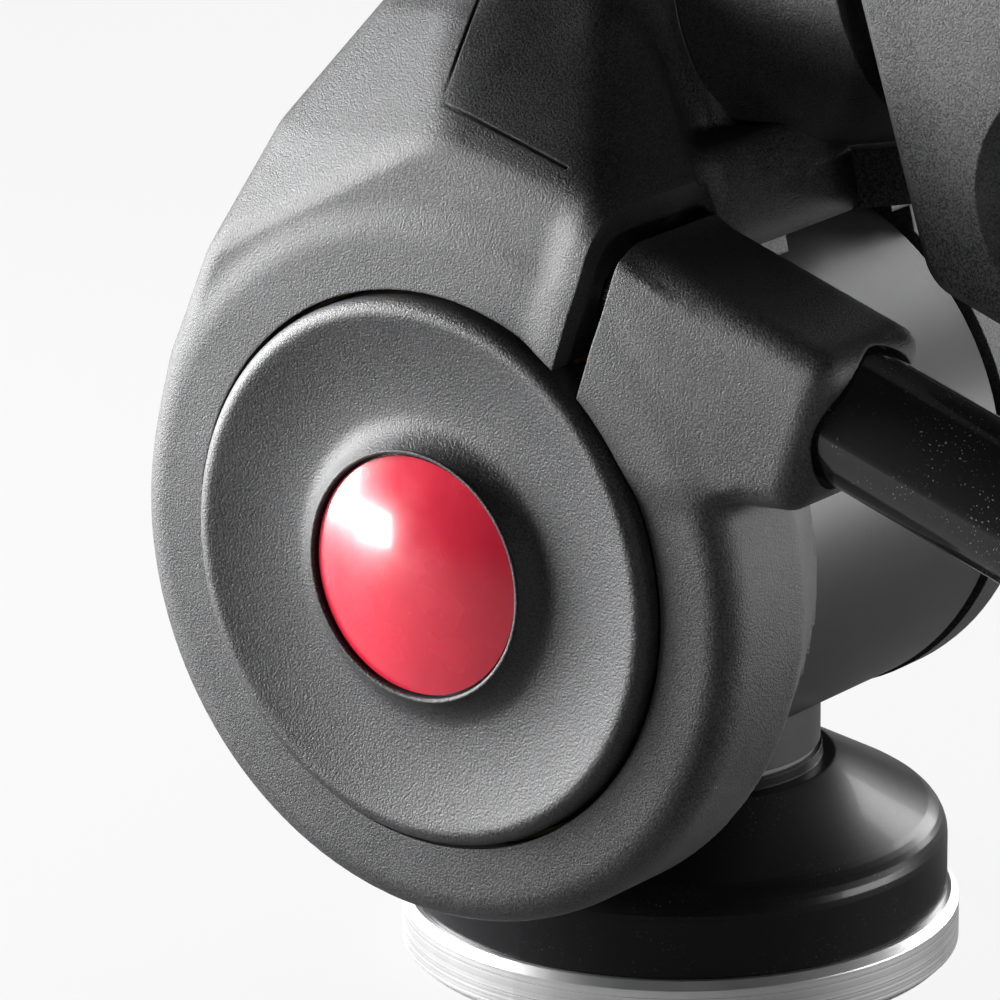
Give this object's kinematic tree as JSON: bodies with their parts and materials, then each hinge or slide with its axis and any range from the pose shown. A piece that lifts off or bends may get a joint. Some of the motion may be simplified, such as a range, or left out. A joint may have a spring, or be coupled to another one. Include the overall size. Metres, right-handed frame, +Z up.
{
  "type": "three-way pan tilt head",
  "caption": "Photographic tripod head that pans, tilts and leans a camera platform, with a split clamp on each tilt axis, twist levers and a sliding quick-release plate.",
  "frame": {"origin": "centre of the base disc's underside, at the mouth of the tripod thread", "axes": "+X along the front-tilt drum towards its cover disc, +Y towards the operator and the tilt lever, +Z up along the pan axis"},
  "size_m": [0.2306, 0.2405, 0.154],
  "materials": {
    "turned_aluminium": "turned, bright",
    "gloss_black": "gloss",
    "drum_black": "satin, turned",
    "moulded_grey": "fine grain",
    "cover_grey": "fine grain",
    "red": "gloss",
    "barrel_black": "fine grain",
    "clamp_grey": "fine grain",
    "steel": "machined",
    "black_steel": "blackened",
    "bearing": "smooth",
    "washer_white": "smooth",
    "friction": "smooth",
    "rubber": "matt",
    "knob_black": "satin",
    "platform_black": "satin",
    "vial": "clear"
  },
  "bodies": {
    "base": {"base_disc": "turned_aluminium", "thread_bush": "steel", "base_housing": "gloss_black", "base_screws": "black_steel", "pan_bush": "bearing", "brake_shoe": "friction"},
    "pan_lock": {"pan_knob": "knob_black", "pan_stud": "steel"},
    "pan": {"pan_spindle": "steel", "tilt_drum": "drum_black", "cover_disc": "cover_grey", "red_cap": "red", "pivot_bolt": "steel"},
    "tilt": {"front_housing": "moulded_grey", "rear_housing": "moulded_grey", "clamp_liner": "friction", "clamp_nut": "steel", "thrust_washer": "washer_white", "rear_cover": "moulded_grey", "housing_screws": "black_steel", "barrel_washer": "black_steel", "shaft_bush": "bearing", "side_clamp": "clamp_grey", "side_liner": "friction", "side_nut": "steel"},
    "tilt_lever": {"tilt_lever_tube": "gloss_black", "tilt_lever_stud": "steel", "tilt_lever_grip": "rubber", "tilt_lever_cap": "knob_black"},
    "side": {"side_barrel": "barrel_black", "side_shaft": "steel", "shaft_nut": "black_steel", "platform": "platform_black", "platform_screws": "black_steel", "level_cup": "knob_black", "level_vial": "vial", "release_pivot": "steel"},
    "side_lever": {"side_lever_tube": "gloss_black", "side_lever_stud": "steel", "side_lever_grip": "rubber", "side_lever_cap": "knob_black"},
    "release": {"release_lever": "knob_black"},
    "plate": {"quick_plate": "platform_black", "plate_pad": "rubber"},
    "camera_screw": {"camera_screw": "steel"}
  },
  "joints": [
    {"name": "pan_turn", "type": "hinge", "parent": "base", "child": "pan", "pos_m": [0, 0, 0], "axis": [0, 0, 1], "continuous": true},
    {"name": "pan_lock_turn", "type": "hinge", "parent": "base", "child": "pan_lock", "pos_m": [0, 0, 0.009], "axis": [-0.7986, -0.6018, 0], "range_deg": [0, 270]},
    {"name": "front_tilt", "type": "hinge", "parent": "pan", "child": "tilt", "pos_m": [0, 0, 0.053], "axis": [1, 0, 0], "range_deg": [-43, 77]},
    {"name": "tilt_lever_twist", "type": "hinge", "parent": "tilt", "child": "tilt_lever", "pos_m": [0.0354, 0.04454, 0.07617], "axis": [0, 0.9511, -0.309], "range_deg": [0, 150]},
    {"name": "side_tilt", "type": "hinge", "parent": "tilt", "child": "side", "pos_m": [0, -0.01143, 0.1025], "axis": [0, 0.9744, 0.225], "range_deg": [-90, 30]},
    {"name": "side_lever_twist", "type": "hinge", "parent": "tilt", "child": "side_lever", "pos_m": [-0.0185, 0.0639, 0.09628], "axis": [-1, 0, 0], "range_deg": [0, 150]},
    {"name": "release_swing", "type": "hinge", "parent": "side", "child": "release", "pos_m": [0.024, 0.02243, 0.14254], "axis": [0, -0.225, 0.9744], "range_deg": [0, 75]},
    {"name": "plate_slide", "type": "slide", "parent": "side", "child": "plate", "axis": [0, -0.9744, -0.225], "range_m": [0, 0.06]},
    {"name": "camera_screw_turn", "type": "hinge", "parent": "plate", "child": "camera_screw", "pos_m": [0, 0.00494, 0.1383], "axis": [0, -0.225, 0.9744], "continuous": true}
  ]
}
